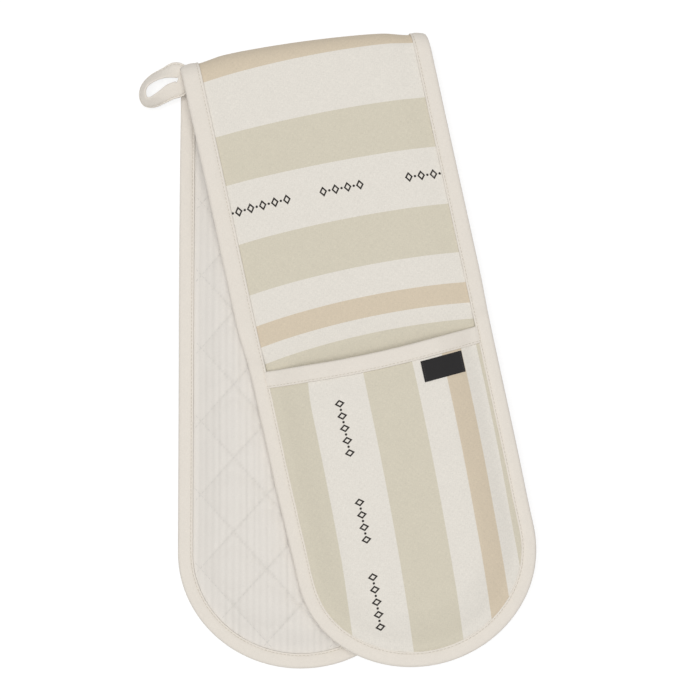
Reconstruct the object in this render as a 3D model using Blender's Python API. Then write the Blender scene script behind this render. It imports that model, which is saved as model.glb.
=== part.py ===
"""Double oven glove, folded in two, with a padded pocket for a hand at each end.

The glove is one long quilted strip. It is folded across its middle with the printed
side out and the front half laid over the back half, turned a little to one side.
Lengths are in metres. +X is to the right and +Y runs from the pockets to the fold,
the glove lies on Z = 0, and the origin is under the middle of its outline.

Places on the strip are given as w, across it, t, along it from its middle (front half
positive), and n, out of its printed face. The fold lies a little behind the middle. A
point's inset is its distance from the strip's outer edge.
"""
import math

import bmesh
import bpy
from mathutils import Matrix, Vector

for old_object in list(bpy.data.objects):
    bpy.data.objects.remove(old_object, do_unlink=True)

# The strip, laid flat
glove_width = 0.1785
half_length = 0.4664
fold_offset = 0.0033
round_end_length = 0.084
round_row_count = 8
layer_gap = 0.0003
wadding_gap = 0.0004

# The fold
fold_radius = 0.0155
fold_tilt = math.radians(6.1)
fold_piece_angle = math.radians(45)
fold_row_angle = math.radians(15)

# The padded strip
shell_thickness = 0.0006
pad_edge_thickness = 0.0030
pad_thickness = 0.0080
lining_edge_thickness = 0.0009
lining_thickness = 0.0026

# Diamond quilting of the lining: the size of a diamond, and a crossing on the middle line
quilt_width = 0.0485
quilt_length = 0.0534
quilt_depth = 0.0013
quilt_crossing_to_tip = 0.099

# Binding tape, folded over every edge
tape_thickness = 0.0009
tape_width = 0.0110
tape_nose = 0.0005

# Pockets
pocket_depth = 0.2330
pocket_mouth_dip = 0.0052
pocket_edge_thickness = 0.0022
pocket_thickness = 0.0045
pocket_lining_thickness = 0.0006
hand_gap = 0.0100
pocket_edge_gap = 0.0006
mouth_tape_width = 0.0125
mouth_edge_thickness = 0.0015
pocket_fill_in = 0.0175
tape_step_length = 0.0120
tape_step_gap = 0.0020

# How the back half lies: its rim over the rear pocket, and where it rises on to it
rim_height = 0.0103
rise_start = 0.050
rise_length = 0.160

# Woven label
label_width = 0.0308
label_height = 0.0155
label_thickness = 0.0005
label_inset = 0.0408
label_tuck = 0.0015

# Hanging loop
loop_reach = 0.0290
loop_length = 0.0285
loop_tape_width = 0.0100
loop_tape_thickness = 0.0016
loop_points = 28
loop_gap = 0.0005

# Shares of full height at the edge, the lip of the binding and the first three columns of
# quilting, and the least part of a column that is left between the lip and the first of them
pad_shares = (0.0, 0.0, 0.15, 0.90, 1.0)
crown_shares = (0.0, 0.0, 0.07, 0.60, 1.0)
least_column_share = 0.2

# The loop seen from above: shares of its reach, of its length, and of a quarter turn of lean
loop_shares = (
    (0.00, -0.12, 0.0), (0.30, -0.17, 0.1), (0.58, -0.28, 0.2), (0.84, -0.47, 0.2),
    (0.98, -0.73, 0.2), (0.90, -0.96, 0.2), (0.66, -0.98, 0.35), (0.42, -0.85, 0.5),
    (0.20, -0.72, 0.3), (0.07, -0.60, 0.1), (0.03, -0.36, 0.0),
)

# Colours, as red, green and blue shares
printed_shares = (0.86, 0.83, 0.77)
tape_shares = (0.89, 0.86, 0.81)
lining_shares = (0.87, 0.85, 0.82)
wadding_shares = (0.93, 0.93, 0.91)
label_shares = (0.12, 0.11, 0.11)
cloth_roughness = 0.9
screen_gamma = 2.2
smooth_angle = math.radians(50)

# Worked out from the sizes above
half_width = glove_width / 2
round_start = half_length - round_end_length
quilt_column = quilt_width / 4
quilt_row = quilt_length / 4
pad_middle = -pad_thickness / 2
edge_inset = tape_thickness + layer_gap
lip_inset = tape_width + pocket_edge_gap
columns_inside = math.floor((half_width - lip_inset) / quilt_column - least_column_share)
rising_columns = len(pad_shares) - 2
level_columns = columns_inside - rising_columns + 1
rim_insets = (edge_inset, lip_inset) + tuple(
    half_width - (columns_inside - step) * quilt_column for step in range(rising_columns)
)
pocket_middle = hand_gap + pocket_thickness / 2
pocket_height = hand_gap + pocket_thickness
mouth_place = half_length - pocket_depth
quarter_fold = fold_radius * math.pi / 2
seam_top = pad_middle + pad_edge_thickness / 2 + layer_gap + pocket_edge_thickness
rim_lift = rim_height + pad_middle

# Directions in plan: along the crease, and from the crease towards the pockets
along_crease = Vector((math.cos(fold_tilt), math.sin(fold_tilt), 0))
off_crease = Vector((math.sin(fold_tilt), -math.cos(fold_tilt), 0))

# The outline's box in plan, measured from the point where the halves' middle lines cross
turn = 2 * fold_tilt
front_round_x = (round_start + fold_offset) * math.sin(turn)
front_right = front_round_x + math.hypot(half_width * math.cos(turn), round_end_length * math.sin(turn))
loop_left = half_width + loop_reach
fold_top = half_width * math.tan(fold_tilt) - (quarter_fold - fold_radius) / math.cos(fold_tilt)
back_length = half_length - fold_offset
crossing_point = Vector(((loop_left - front_right) / 2, (back_length - fold_top) / 2, 0))


def between(value, stops, shares):
    """Straight lines between shares that are given at rising stops, level outside them."""
    if value <= stops[0]:
        return shares[0]
    for low, high, first, last in zip(stops, stops[1:], shares, shares[1:]):
        if value <= high:
            return first + (last - first) * (value - low) / (high - low)
    return shares[-1]


def ease(share):
    """0 to 1 with level ends."""
    share = min(max(share, 0), 1)
    return share * share * (3 - 2 * share)


def pad_share(inset):
    return between(inset, rim_insets, pad_shares)


def crown_share(inset):
    return between(inset, rim_insets, crown_shares)


def rise_share(length):
    """How far the back half has risen on to the rear pocket, in straight runs between seam rows."""
    steps = (round_start - length) / (2 * quilt_row)
    nearer = round_start - 2 * quilt_row * math.floor(steps)
    further = nearer - 2 * quilt_row
    mix = steps - math.floor(steps)
    lower, upper = (ease((length - rise_start) / rise_length) for length in (further, nearer))
    return (1 - mix) * upper + mix * lower


def place(w, t, n, inset):
    """The point in space of a place on the folded strip."""
    from_fold = t + fold_offset
    along = w * math.cos(fold_tilt) + from_fold * math.sin(fold_tilt)
    round_fold = from_fold * math.cos(fold_tilt) - w * math.sin(fold_tilt)
    angle = min(max(round_fold / fold_radius, -math.pi / 2), math.pi / 2)
    past_fold = max(abs(round_fold) - quarter_fold, 0)
    radius = fold_radius + n
    spot = crossing_point + along_crease * along
    spot += off_crease * (quarter_fold - radius * math.cos(angle) + past_fold)
    spot.z = fold_radius + radius * math.sin(angle)
    if from_fold < 0 and past_fold:
        spot.z += rise_share(-t) * (rim_lift + (pocket_height - rim_lift) * crown_share(inset))
    return spot


def on_fold(angle):
    """A point on the crease line that lies on the printed face at this angle round the fold."""
    spot = crossing_point + off_crease * (quarter_fold - fold_radius * math.cos(angle))
    spot.z = fold_radius + fold_radius * math.sin(angle)
    return spot


# A row is a line across the strip: ("fold", angle), ("mouth", distance), ("straight", length)
# or ("round", angle). hand is 1 on the front half and -1 on the back half.
def mouth_line(w):
    """Distance of a pocket's mouth from the middle of the strip."""
    return mouth_place + pocket_mouth_dip * (1 - (w / half_width) ** 2)


def on_row(row, hand, inset, share):
    """Place on the strip of a row's point: share of the way from the middle to this inset."""
    kind, value = row
    reach = half_width - inset
    if kind == "round":
        w = share * reach * math.cos(value)
        return w, hand * (round_start + (round_end_length - inset) * math.sin(value))
    w = share * reach
    if kind == "fold":
        return w, (fold_radius * value + w * math.sin(fold_tilt)) / math.cos(fold_tilt) - fold_offset
    if kind == "mouth":
        return w, hand * (mouth_line(w) + value)
    return w, hand * value


def fold_rows(first, last):
    """Rows round the fold between two angles, clear of the pieces on either side."""
    clearance = math.copysign(layer_gap / 2 / fold_radius, last - first)
    steps = max(round(abs(last - first) / fold_row_angle), 1)
    return [("fold", first + clearance + (last - first - 2 * clearance) * step / steps)
            for step in range(steps + 1)]


def round_rows():
    return [("round", math.pi / 2 * step / round_row_count) for step in range(1, round_row_count + 1)]


def straight_rows(start, pitch):
    """Rows with this pitch from near start up to the round end."""
    count = math.floor((round_start - start) / pitch)
    return [("straight", round_start - pitch * step) for step in range(count, -1, -1)]


def half_rows(hand, pitch):
    """All rows of one half, from its last hinge on the fold to the tip."""
    last_hinge = fold_piece_angle * 3 / 2
    into_half = [last_hinge + layer_gap / 2 / fold_radius, (last_hinge + math.pi / 2) / 2, math.pi / 2]
    rows = [("fold", hand * angle) for angle in into_half]
    clear_of_fold = quarter_fold + half_width * math.tan(fold_tilt)
    rows.append(("straight", (clear_of_fold + rise_start) / 2))
    return rows + straight_rows(rise_start, pitch) + round_rows()


# Building

def cloth(name, shares):
    """A matt cloth of one colour."""
    material = bpy.data.materials.new(name)
    material.use_nodes = True
    shader = material.node_tree.nodes["Principled BSDF"]
    linear = [share ** screen_gamma for share in shares]
    shader.inputs["Base Color"].default_value = (*linear, 1)
    shader.inputs["Roughness"].default_value = cloth_roughness
    shader.inputs["Metallic"].default_value = 0
    return material


printed_cloth = cloth("printed_cloth", printed_shares)
tape_cloth = cloth("binding_tape", tape_shares)
lining_cloth = cloth("quilted_lining", lining_shares)
wadding_cloth = cloth("wadding", wadding_shares)
label_cloth = cloth("woven_label", label_shares)

hinge_angles = [fold_piece_angle * (step - 3 / 2) for step in range(4)]
pocket_pivot_n = pocket_edge_thickness / 2


def pocket_pivot(hand):
    """The middle of the seam at a pocket's tip, which its mouth opens about."""
    return place(0, hand * (half_length - lip_inset), pocket_pivot_n, lip_inset)


fold_corner = place(-half_width, -half_width * math.tan(fold_tilt) - fold_offset, 0, 0)
loop_root = Vector((
    fold_corner.x - loop_gap - loop_tape_thickness / 2,
    fold_corner.y,
    fold_radius,
))

loop_hinge = loop_root + Vector((loop_tape_thickness / 2, 0, loop_tape_width / 2))

turned_to_crease = Matrix.Rotation(fold_tilt, 4, "Z")
turned_to_front = Matrix.Rotation(turn, 4, "Z")
body_frames = {
    "rear_pocket": (None, Matrix.Identity(4)),
    "back_half": ("rear_pocket", Matrix.Translation(pocket_pivot(-1))),
    "fold_back": ("back_half", Matrix.Translation(on_fold(hinge_angles[0])) @ turned_to_crease),
    "fold_middle": ("fold_back", Matrix.Translation(on_fold(hinge_angles[1])) @ turned_to_crease),
    "fold_front": ("fold_middle", Matrix.Translation(on_fold(hinge_angles[2])) @ turned_to_crease),
    "front_half": ("fold_front", Matrix.Translation(on_fold(hinge_angles[3])) @ turned_to_crease),
    "front_pocket": ("front_half", Matrix.Translation(pocket_pivot(1)) @ turned_to_front),
    "hanging_loop": ("fold_middle", Matrix.Translation(loop_hinge)),
}
axis_empties = {}
for body_name, (parent_name, body_frame) in body_frames.items():
    empty = bpy.data.objects.new(body_name + "_axis", None)
    empty.empty_display_size = tape_width
    bpy.context.scene.collection.objects.link(empty)
    empty.matrix_basis = body_frame
    if parent_name:
        empty.parent = axis_empties[parent_name]
        empty.matrix_basis = body_frames[parent_name][1].inverted() @ body_frame
    axis_empties[body_name] = empty


def add_object(name, body, points, faces, material):
    """One closed solid, kept in the frame of the body that it moves with."""
    to_body = body_frames[body][1].inverted()
    mesh = bpy.data.meshes.new(name)
    mesh.from_pydata([to_body @ point for point in points], [], faces)
    shape = bmesh.new()
    shape.from_mesh(mesh)
    bmesh.ops.recalc_face_normals(shape, faces=shape.faces)
    shape.to_mesh(mesh)
    shape.free()
    mesh.materials.append(material)
    mesh.shade_smooth()
    mesh.set_sharp_from_angle(angle=smooth_angle)
    piece = bpy.data.objects.new(name, mesh)
    bpy.context.scene.collection.objects.link(piece)
    piece.parent = axis_empties[body]
    return piece


def panel(name, body, hand, rows, insets, middle_shares, surfaces, material, crease=None):
    """A sheet of the strip's own outline between a lower and an upper surface.

    surfaces gives n of the lower and the upper face. Where crease is given, each
    four-sided face is split along the diagonal whose corners it puts lowest.
    """
    columns = [(-1, inset) for inset in insets]
    columns += [(share, insets[-1]) for share in middle_shares]
    columns += [(1, inset) for inset in reversed(insets)]
    closed_tip = rows[-1] == ("round", math.pi / 2)
    points, numbers, strip_places = [], {}, []
    for layer in (0, 1):
        for row_number, row in enumerate(rows):
            at_tip = closed_tip and row is rows[-1]
            for column_number, (share, inset) in enumerate(columns):
                key = (layer, row_number, inset if at_tip else column_number)
                if key not in numbers:
                    w, t = on_row(row, hand, inset, share)
                    numbers[key] = len(points)
                    points.append(place(w, t, surfaces(w, t, inset)[layer], inset))
                    strip_places.append((w, t))

    def number(layer, row_number, column_number):
        tip_row = closed_tip and row_number == len(rows) - 1
        return numbers[layer, row_number, columns[column_number][1] if tip_row else column_number]

    faces = []

    def add_face(corners):
        corners = list(dict.fromkeys(corners))
        if len(corners) == 4 and crease:
            depth = [crease(*strip_places[corner]) for corner in corners]
            if depth[1] + depth[3] < depth[0] + depth[2]:
                corners = corners[1:] + corners[:1]
            faces.extend([(corners[0], corners[1], corners[2]), (corners[0], corners[2], corners[3])])
        elif len(corners) > 2:
            faces.append(tuple(corners))

    last_row, last_column = len(rows) - 1, len(columns) - 1
    for layer in (0, 1):
        for row in range(last_row):
            for column in range(last_column):
                add_face([number(layer, row, column), number(layer, row, column + 1),
                          number(layer, row + 1, column + 1), number(layer, row + 1, column)])

    def add_wall(first, second):
        faces.append((number(0, *first), number(0, *second), number(1, *second), number(1, *first)))

    for row in range(last_row):
        add_wall((row, 0), (row + 1, 0))
        add_wall((row, last_column), (row + 1, last_column))
    for column in range(last_column):
        add_wall((0, column), (0, column + 1))
        if not closed_tip:
            add_wall((last_row, column), (last_row, column + 1))
    return add_object(name, body, points, faces, material)


def swept(name, body, rings, material, closed=False):
    """A strip drawn through rings of points. The first half of a ring faces its second half."""
    size = len(rings[0])
    points = [point for ring in rings for point in ring]
    faces = []
    for ring in range(len(rings) - (0 if closed else 1)):
        start, following = ring * size, (ring + 1) % len(rings) * size
        for side in range(size):
            turned = (side + 1) % size
            faces.append((start + side, start + turned, following + turned, following + side))
    if not closed:
        for start in (0, (len(rings) - 1) * size):
            for side in range(size // 2 - 1):
                facing = size - 1 - side
                faces.append((start + side, start + side + 1, start + facing - 1, start + facing))
    return add_object(name, body, points, faces, material)


def around_edge(rows, both_sides):
    """Stations along the rim: down one side, round the tip and up the other."""
    left = [(row, -1) for row in rows]
    return left + [(row, 1) for row in reversed(rows[:-1])] if both_sides else left


# The padded strip: printed shell, wadding and quilted lining

def pad_top(inset):
    return pad_middle + (pad_edge_thickness + (pad_thickness - pad_edge_thickness) * pad_share(inset)) / 2


def pad_bottom(inset):
    return 2 * pad_middle - pad_top(inset)


def lining_top(inset):
    extra = (lining_thickness - lining_edge_thickness) * pad_share(inset)
    return pad_bottom(inset) + lining_edge_thickness + extra


def puff_share(w, t):
    """0 on the quilting seams and 1 in the middle of each diamond."""
    across = w / quilt_width
    along = (abs(t) - half_length + quilt_crossing_to_tip) / quilt_length
    return math.sqrt(abs(math.sin(math.pi * (across + along)) * math.sin(math.pi * (across - along))))


def shell_surfaces(w, t, inset):
    return pad_top(inset) - shell_thickness, pad_top(inset)


def wadding_surfaces(w, t, inset):
    return lining_top(inset) + wadding_gap, pad_top(inset) - shell_thickness - wadding_gap


def lining_surfaces(w, t, inset):
    sewn_in = quilt_depth * pad_share(inset) * (1 - puff_share(w, t))
    return pad_bottom(inset) + sewn_in, lining_top(inset)


quilt_shares = [step / level_columns for step in range(1 - level_columns, level_columns)]
plain_shares = (0,)


def padded_strip(name, body, hand, coarse_rows, fine_rows):
    """The three layers of one stretch of the strip."""
    panel(name + "_shell", body, hand, coarse_rows, rim_insets, plain_shares, shell_surfaces, printed_cloth)
    panel(name + "_wadding", body, hand, coarse_rows, rim_insets, plain_shares, wadding_surfaces, wadding_cloth)
    panel(name + "_lining", body, hand, fine_rows, rim_insets, quilt_shares, lining_surfaces, lining_cloth,
          crease=puff_share)


# Binding tape over the strip's edge

def tape_step_share(length):
    """0 where the tape holds the padded strip alone and 1 where it holds a pocket too."""
    end = mouth_place - tape_step_gap
    return between(length, (end - tape_step_length, end), (0.0, 1.0))


def tape_section(row, hand, side):
    """Points round the folded tape at one station, out over the edge and back inside it."""
    edge_t = on_row(row, hand, 0, side)[1]
    bottom = pad_middle - pad_edge_thickness / 2 - layer_gap
    free_top = pad_middle + pad_edge_thickness / 2 + layer_gap
    top = free_top + (seam_top + layer_gap - free_top) * tape_step_share(abs(edge_t))
    middle = (top + bottom) / 2
    outside = [(tape_width, bottom - tape_thickness), (tape_nose, bottom - tape_thickness), (0, middle),
               (tape_nose, top + tape_thickness), (tape_width, top + tape_thickness)]
    inside = [(tape_width, top), (tape_thickness, top), (tape_thickness, middle),
              (tape_thickness, bottom), (tape_width, bottom)]
    return [place(*on_row(row, hand, inset, side), n, inset) for inset, n in outside + inside]


def edge_binding(name, body, hand, rows, side=None):
    stations = around_edge(rows, True) if side is None else [(row, side) for row in rows]
    swept(name, body, [tape_section(row, hand, at) for row, at in stations], tape_cloth)


# Pockets

def mouth_distance(w, t):
    return abs(t) - mouth_line(w)


def pocket_surfaces(w, t, inset):
    """n of a pocket's inner and outer face."""
    crown = crown_share(inset)
    filled = pocket_edge_thickness + (pocket_thickness - pocket_edge_thickness) * crown
    fill = between(mouth_distance(w, t), (mouth_tape_width, mouth_tape_width + pocket_fill_in), (0.0, 1.0))
    thickness = mouth_edge_thickness + (filled - mouth_edge_thickness) * fill
    middle = pocket_middle * crown
    return middle - thickness / 2, middle + thickness / 2


def pocket_shell_surfaces(w, t, inset):
    outer = pocket_surfaces(w, t, inset)[1]
    return outer - shell_thickness, outer


def pocket_lining_surfaces(w, t, inset):
    inner = pocket_surfaces(w, t, inset)[0]
    return inner, inner + pocket_lining_thickness


def pocket_wadding_surfaces(w, t, inset):
    inner, outer = pocket_surfaces(w, t, inset)
    return inner + pocket_lining_thickness + wadding_gap, outer - shell_thickness - wadding_gap


def mouth_tape_section(hand, inset, share):
    """Points round the tape over a pocket's mouth, at one place across the pocket."""
    w = on_row(("straight", mouth_place), hand, inset, share)[0]
    edge = mouth_line(w)
    middle = pocket_middle * crown_share(inset)
    inside_half = mouth_edge_thickness / 2 + layer_gap
    outside_half = inside_half + tape_thickness
    outside = [(mouth_tape_width, -outside_half), (tape_nose, -outside_half), (0, 0),
               (tape_nose, outside_half), (mouth_tape_width, outside_half)]
    inside = [(mouth_tape_width, inside_half), (tape_thickness, inside_half), (tape_thickness, 0),
              (tape_thickness, -inside_half), (mouth_tape_width, -inside_half)]
    return [place(w, hand * (edge + down), middle + n, inset) for down, n in outside + inside]


def seam_section(row, hand, side):
    """The pocket's own edge, caught between the strip and the binding tape."""
    inner = tape_width - layer_gap
    corners = [(edge_inset, seam_top - pocket_edge_thickness), (inner, seam_top - pocket_edge_thickness),
               (inner, seam_top), (edge_inset, seam_top)]
    return [place(*on_row(row, hand, inset, side), n, inset) for inset, n in corners]


def pocket(name, body, seam_body, hand):
    """One pocket, sewn into the binding at its sides and tip and bound along its mouth."""
    insets = rim_insets[1:]
    lower_rows = straight_rows(mouth_place + pocket_mouth_dip + mouth_tape_width + pocket_fill_in, 2 * quilt_row)
    panel_rows = [("mouth", edge_inset), ("mouth", mouth_tape_width),
                  ("mouth", mouth_tape_width + pocket_fill_in)] + lower_rows[1:] + round_rows()
    panel(name + "_shell", body, hand, panel_rows, insets, plain_shares, pocket_shell_surfaces, printed_cloth)
    panel(name + "_lining", body, hand, panel_rows, insets, plain_shares, pocket_lining_surfaces, lining_cloth)
    wadding_insets = ((insets[1] + insets[2]) / 2, insets[2], insets[3])
    panel(name + "_wadding", body, hand, panel_rows[2:], wadding_insets, plain_shares,
          pocket_wadding_surfaces, wadding_cloth)
    across = [(-1, inset) for inset in insets] + [(0, insets[-1])] + [(1, inset) for inset in reversed(insets)]
    swept(name + "_mouth_binding", body,
          [mouth_tape_section(hand, inset, share) for share, inset in across], tape_cloth)
    seam_rows = [("straight", mouth_place)] + straight_rows(mouth_place + quilt_row, 2 * quilt_row) + round_rows()
    swept(name + "_seam", seam_body,
          [seam_section(row, hand, side) for row, side in around_edge(seam_rows, True)], printed_cloth)


def woven_label():
    """A small folded ribbon sewn just under the mouth binding of the front pocket."""
    right, left = (half_width - label_inset + side * label_width / 2 for side in (1, -1))
    seam_columns = [half_width - inset for inset in rim_insets if left < half_width - inset < right]
    across = [left] + sorted(seam_columns) + [right]
    rings = []
    for w in across:
        ring = []
        for down, raised in ((0, 0), (label_height, 0), (label_height, 1), (0, 1)):
            t = mouth_line(w) + mouth_tape_width + label_tuck + down
            outer = pocket_surfaces(w, t, half_width - w)[1]
            ring.append(place(w, t, outer + layer_gap + label_thickness * raised, half_width - w))
        rings.append(ring)
    swept("woven_label", "front_pocket", rings, label_cloth)


def hanging_loop():
    """A loop of binding tape on edge, sewn to the strip's edge at the middle of the fold."""
    count = len(loop_shares)
    spine = []
    for step in range(loop_points):
        place_on_route = step * count / loop_points
        start = math.floor(place_on_route)
        mix = place_on_route - start
        near = [Vector(loop_shares[(start + offset) % count]) for offset in (-1, 0, 1, 2)]
        spine.append((2 * near[1] + (near[2] - near[0]) * mix
                      + (2 * near[0] - 5 * near[1] + 4 * near[2] - near[3]) * mix ** 2
                      + (3 * near[1] - near[0] - 3 * near[2] + near[3]) * mix ** 3) / 2)
    reach = loop_reach - loop_tape_thickness
    middle = [Vector((-share.x * reach, share.y * loop_length, 0)) + loop_root for share in spine]
    rings = []
    for step, (share, spot) in enumerate(zip(spine, middle)):
        ahead = middle[(step + 1) % loop_points] - middle[step - 1]
        outward = Vector((ahead.y, -ahead.x, 0)).normalized()
        lean = max(share.z, 0) * math.pi / 2
        up = Vector((0, 0, math.cos(lean))) - outward * math.sin(lean)
        face = outward * math.cos(lean) + Vector((0, 0, math.sin(lean)))
        rings.append([spot + up * (high * loop_tape_width / 2) + face * (out * loop_tape_thickness / 2)
                      for high, out in ((-1, -1), (-1, 1), (1, 1), (1, -1))])
    swept("hanging_loop", "hanging_loop", rings, tape_cloth, closed=True)


# Assembly

for half_name, side_of_fold in (("back", -1), ("front", 1)):
    half_body = half_name + "_half"
    wide_rows = half_rows(side_of_fold, 2 * quilt_row)
    close_rows = half_rows(side_of_fold, quilt_row)
    padded_strip(half_name, half_body, side_of_fold, wide_rows, close_rows)
    step_end = mouth_place - tape_step_gap
    tape_rows = wide_rows + [("straight", step_end - tape_step_length), ("straight", step_end)]
    tape_rows.sort(key=lambda row: abs(on_row(row, side_of_fold, 0, 1)[1]))
    edge_binding(half_name + "_binding", half_body, side_of_fold, tape_rows)

for piece_number, fold_name in enumerate(("fold_back", "fold_middle", "fold_front")):
    rows_of_fold = fold_rows(hinge_angles[piece_number], hinge_angles[piece_number + 1])
    padded_strip(fold_name, fold_name, 1, rows_of_fold, rows_of_fold)
    edge_binding(fold_name + "_left_binding", fold_name, 1, rows_of_fold, side=-1)
    edge_binding(fold_name + "_right_binding", fold_name, 1, rows_of_fold, side=1)

pocket("rear_pocket", "rear_pocket", "back_half", -1)
pocket("front_pocket", "front_pocket", "front_half", 1)
woven_label()
hanging_loop()
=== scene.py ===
"""Looks of the folded double oven glove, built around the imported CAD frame.

Every layer is cut flat in the strip's own places, w across it, t along it and n out of its
printed face, as it is sewn, and is then folded round the bend and over the rear pocket.
"""
import math
from collections import namedtuple

import bpy
import numpy as np
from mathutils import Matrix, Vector


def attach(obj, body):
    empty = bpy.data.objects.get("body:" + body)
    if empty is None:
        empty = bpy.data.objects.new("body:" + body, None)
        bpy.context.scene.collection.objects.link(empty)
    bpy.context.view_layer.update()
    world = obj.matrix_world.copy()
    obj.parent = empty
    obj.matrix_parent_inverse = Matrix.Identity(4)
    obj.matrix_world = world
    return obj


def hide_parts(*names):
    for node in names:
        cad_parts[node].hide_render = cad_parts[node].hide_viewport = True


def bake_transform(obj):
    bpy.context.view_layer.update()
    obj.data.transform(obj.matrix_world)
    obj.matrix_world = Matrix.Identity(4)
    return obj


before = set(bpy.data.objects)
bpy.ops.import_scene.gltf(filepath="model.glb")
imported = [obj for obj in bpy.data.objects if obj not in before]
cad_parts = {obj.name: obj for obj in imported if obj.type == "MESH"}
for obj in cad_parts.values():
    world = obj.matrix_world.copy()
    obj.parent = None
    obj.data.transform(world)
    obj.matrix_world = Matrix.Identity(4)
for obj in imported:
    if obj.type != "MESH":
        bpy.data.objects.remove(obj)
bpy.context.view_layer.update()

# Quilted lining of the strip. White cotton with fine lengthwise ribs, sewn to its wadding in
# diamonds of lockstitch, so that each diamond stands up as a small cushion. It is cut as one
# length; here it is built in four lengths that meet on the bend and turn smoothly with it.

half_width = 0.08925
half_length = 0.4664
round_end_length = 0.084
round_start = half_length - round_end_length
fold_offset = 0.0033
fold_radius = 0.0155
fold_tilt = math.radians(6.1)
quarter_fold = fold_radius * math.pi / 2
loop_reach = 0.029
pad_middle = -0.004

# The back half rises over the rear pocket, by rim_lift at its edge and pocket_height in its middle
rim_lift = 0.0063
pocket_height = 0.0145
rise_start = 0.050
rise_length = 0.160

# How far each half sinks in just past the bend: in the middle, its slope and its bow across the strip
bend_sag = (0.0033, 0.0027, -0.0046)
bend_sag_length = 0.045

along_crease = np.array((math.cos(fold_tilt), math.sin(fold_tilt), 0.0))
off_crease = np.array((math.sin(fold_tilt), -math.cos(fold_tilt), 0.0))
front_right = (round_start + fold_offset) * math.sin(2 * fold_tilt) + math.hypot(
    half_width * math.cos(2 * fold_tilt), round_end_length * math.sin(2 * fold_tilt))
bend_top = half_width * math.tan(fold_tilt) - (quarter_fold - fold_radius) / math.cos(fold_tilt)
crossing_point = np.array(((half_width + loop_reach - front_right) / 2,
                           (half_length - fold_offset - bend_top) / 2, 0.0))

# How the layers swell from the rim inwards: at these distances from the edge, shares of the
# wadding's full thickness and of a filled pocket's full height
rim_insets = (0.0012, 0.0116, 0.0165, 0.02863, 0.04075)
pad_shares = (0, 0, 0.15, 0.90, 1)
crown_shares = (0, 0, 0.07, 0.60, 1)
swell_blur, swell_blur_reach = 0.0022, 0.008
inset_steps = np.linspace(0, half_width, 360)


def softened(shares):
    """The shares as a smooth curve over inset_steps."""
    sharp = np.interp(inset_steps, rim_insets, shares)
    spread = np.arange(-swell_blur_reach, swell_blur_reach + 0.00001, inset_steps[1])
    weights = np.exp(-(spread / swell_blur) ** 2 / 2)
    extended = np.pad(sharp, len(spread) // 2, mode="edge")
    return np.convolve(extended, weights / weights.sum(), mode="valid")[:len(inset_steps)]


pad_curve, crown_curve = softened(pad_shares), softened(crown_shares)


def pad_share(inset):
    return np.interp(inset, inset_steps, pad_curve)


def crown_share(inset):
    return np.interp(inset, inset_steps, crown_curve)


def ease(share):
    """0 to 1 with level ends."""
    share = np.clip(share, 0, 1)
    return share * share * (3 - 2 * share)


def inset_of(w, t):
    """Distance of places on the strip from its outer edge, found by halving at the round ends."""
    w, t = np.abs(w), np.abs(t)
    low, high = np.full(w.shape, -0.01), np.full(w.shape, round_end_length - 0.0001)
    for _ in range(36):
        middle = (low + high) / 2
        across, along = w / (half_width - middle), (t - round_start) / (round_end_length - middle)
        inside = across ** 2 + along ** 2 < 1
        low, high = np.where(inside, middle, low), np.where(inside, high, middle)
    return np.where(t <= round_start, half_width - w, (low + high) / 2)


# The filled pocket draws the sides of the front half in a little: how far at these t, on each side
drawn_at = (0.20, 0.25, 0.32, 0.342, 0.364, 0.384, 0.407, 0.425, 0.445)
drawn_left = (0, 0.0008, 0.0012, 0.0018, 0.0023, 0.0028, 0.0015, 0.0005, 0)
drawn_right = (0, 0.0003, 0.0005, 0.0007, 0.0011, 0.0011, 0.0006, 0.0002, 0)
drawn_steps = np.linspace(0.19, half_length, 150)


def drawn_curve(pulls):
    """The pulls as a smooth curve over drawn_steps."""
    extended = np.pad(np.interp(drawn_steps, drawn_at, pulls), 6, mode="edge")
    return np.convolve(extended, np.hanning(15)[1:-1] / 7, mode="valid")


drawn_curves = [drawn_curve(pulls) for pulls in (drawn_left, drawn_right)]


def folded(w, t, n, inset):
    """Points in space of places on the strip, after it is folded over the rear pocket."""
    w, t, n, inset = np.broadcast_arrays(*(np.asarray(x, float) for x in (w, t, n, inset)))
    pull = np.where(w < 0, *(np.interp(t, drawn_steps, curve, left=0) for curve in drawn_curves))
    w = w - np.sign(w) * pull * (w / half_width) ** 2
    from_fold = t + fold_offset
    along = w * math.cos(fold_tilt) + from_fold * math.sin(fold_tilt)
    round_fold = from_fold * math.cos(fold_tilt) - w * math.sin(fold_tilt)
    angle = np.clip(round_fold / fold_radius, -math.pi / 2, math.pi / 2)
    past_fold = np.maximum(np.abs(round_fold) - quarter_fold, 0)
    across = w / half_width
    sag = bend_sag[0] + bend_sag[1] * across + bend_sag[2] * across ** 2
    sag = sag * np.exp(-(past_fold / bend_sag_length) ** 2)
    radius = fold_radius + n
    off = quarter_fold - radius * np.cos(angle) + past_fold - sag
    spot = crossing_point + along[..., None] * along_crease + off[..., None] * off_crease
    rise = ease((-t - rise_start) / rise_length)
    lift = rise * (rim_lift + (pocket_height - rim_lift) * crown_share(inset))
    lift = np.where((from_fold < 0) & (past_fold > 0), lift, 0)
    spot[..., 2] = fold_radius + radius * np.sin(angle) + lift
    return spot


def cut_line(angle, w):
    """Length along the strip of a line across it that lies at this angle round the bend."""
    return (fold_radius * angle + w * math.sin(fold_tilt)) / math.cos(fold_tilt) - fold_offset


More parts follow.
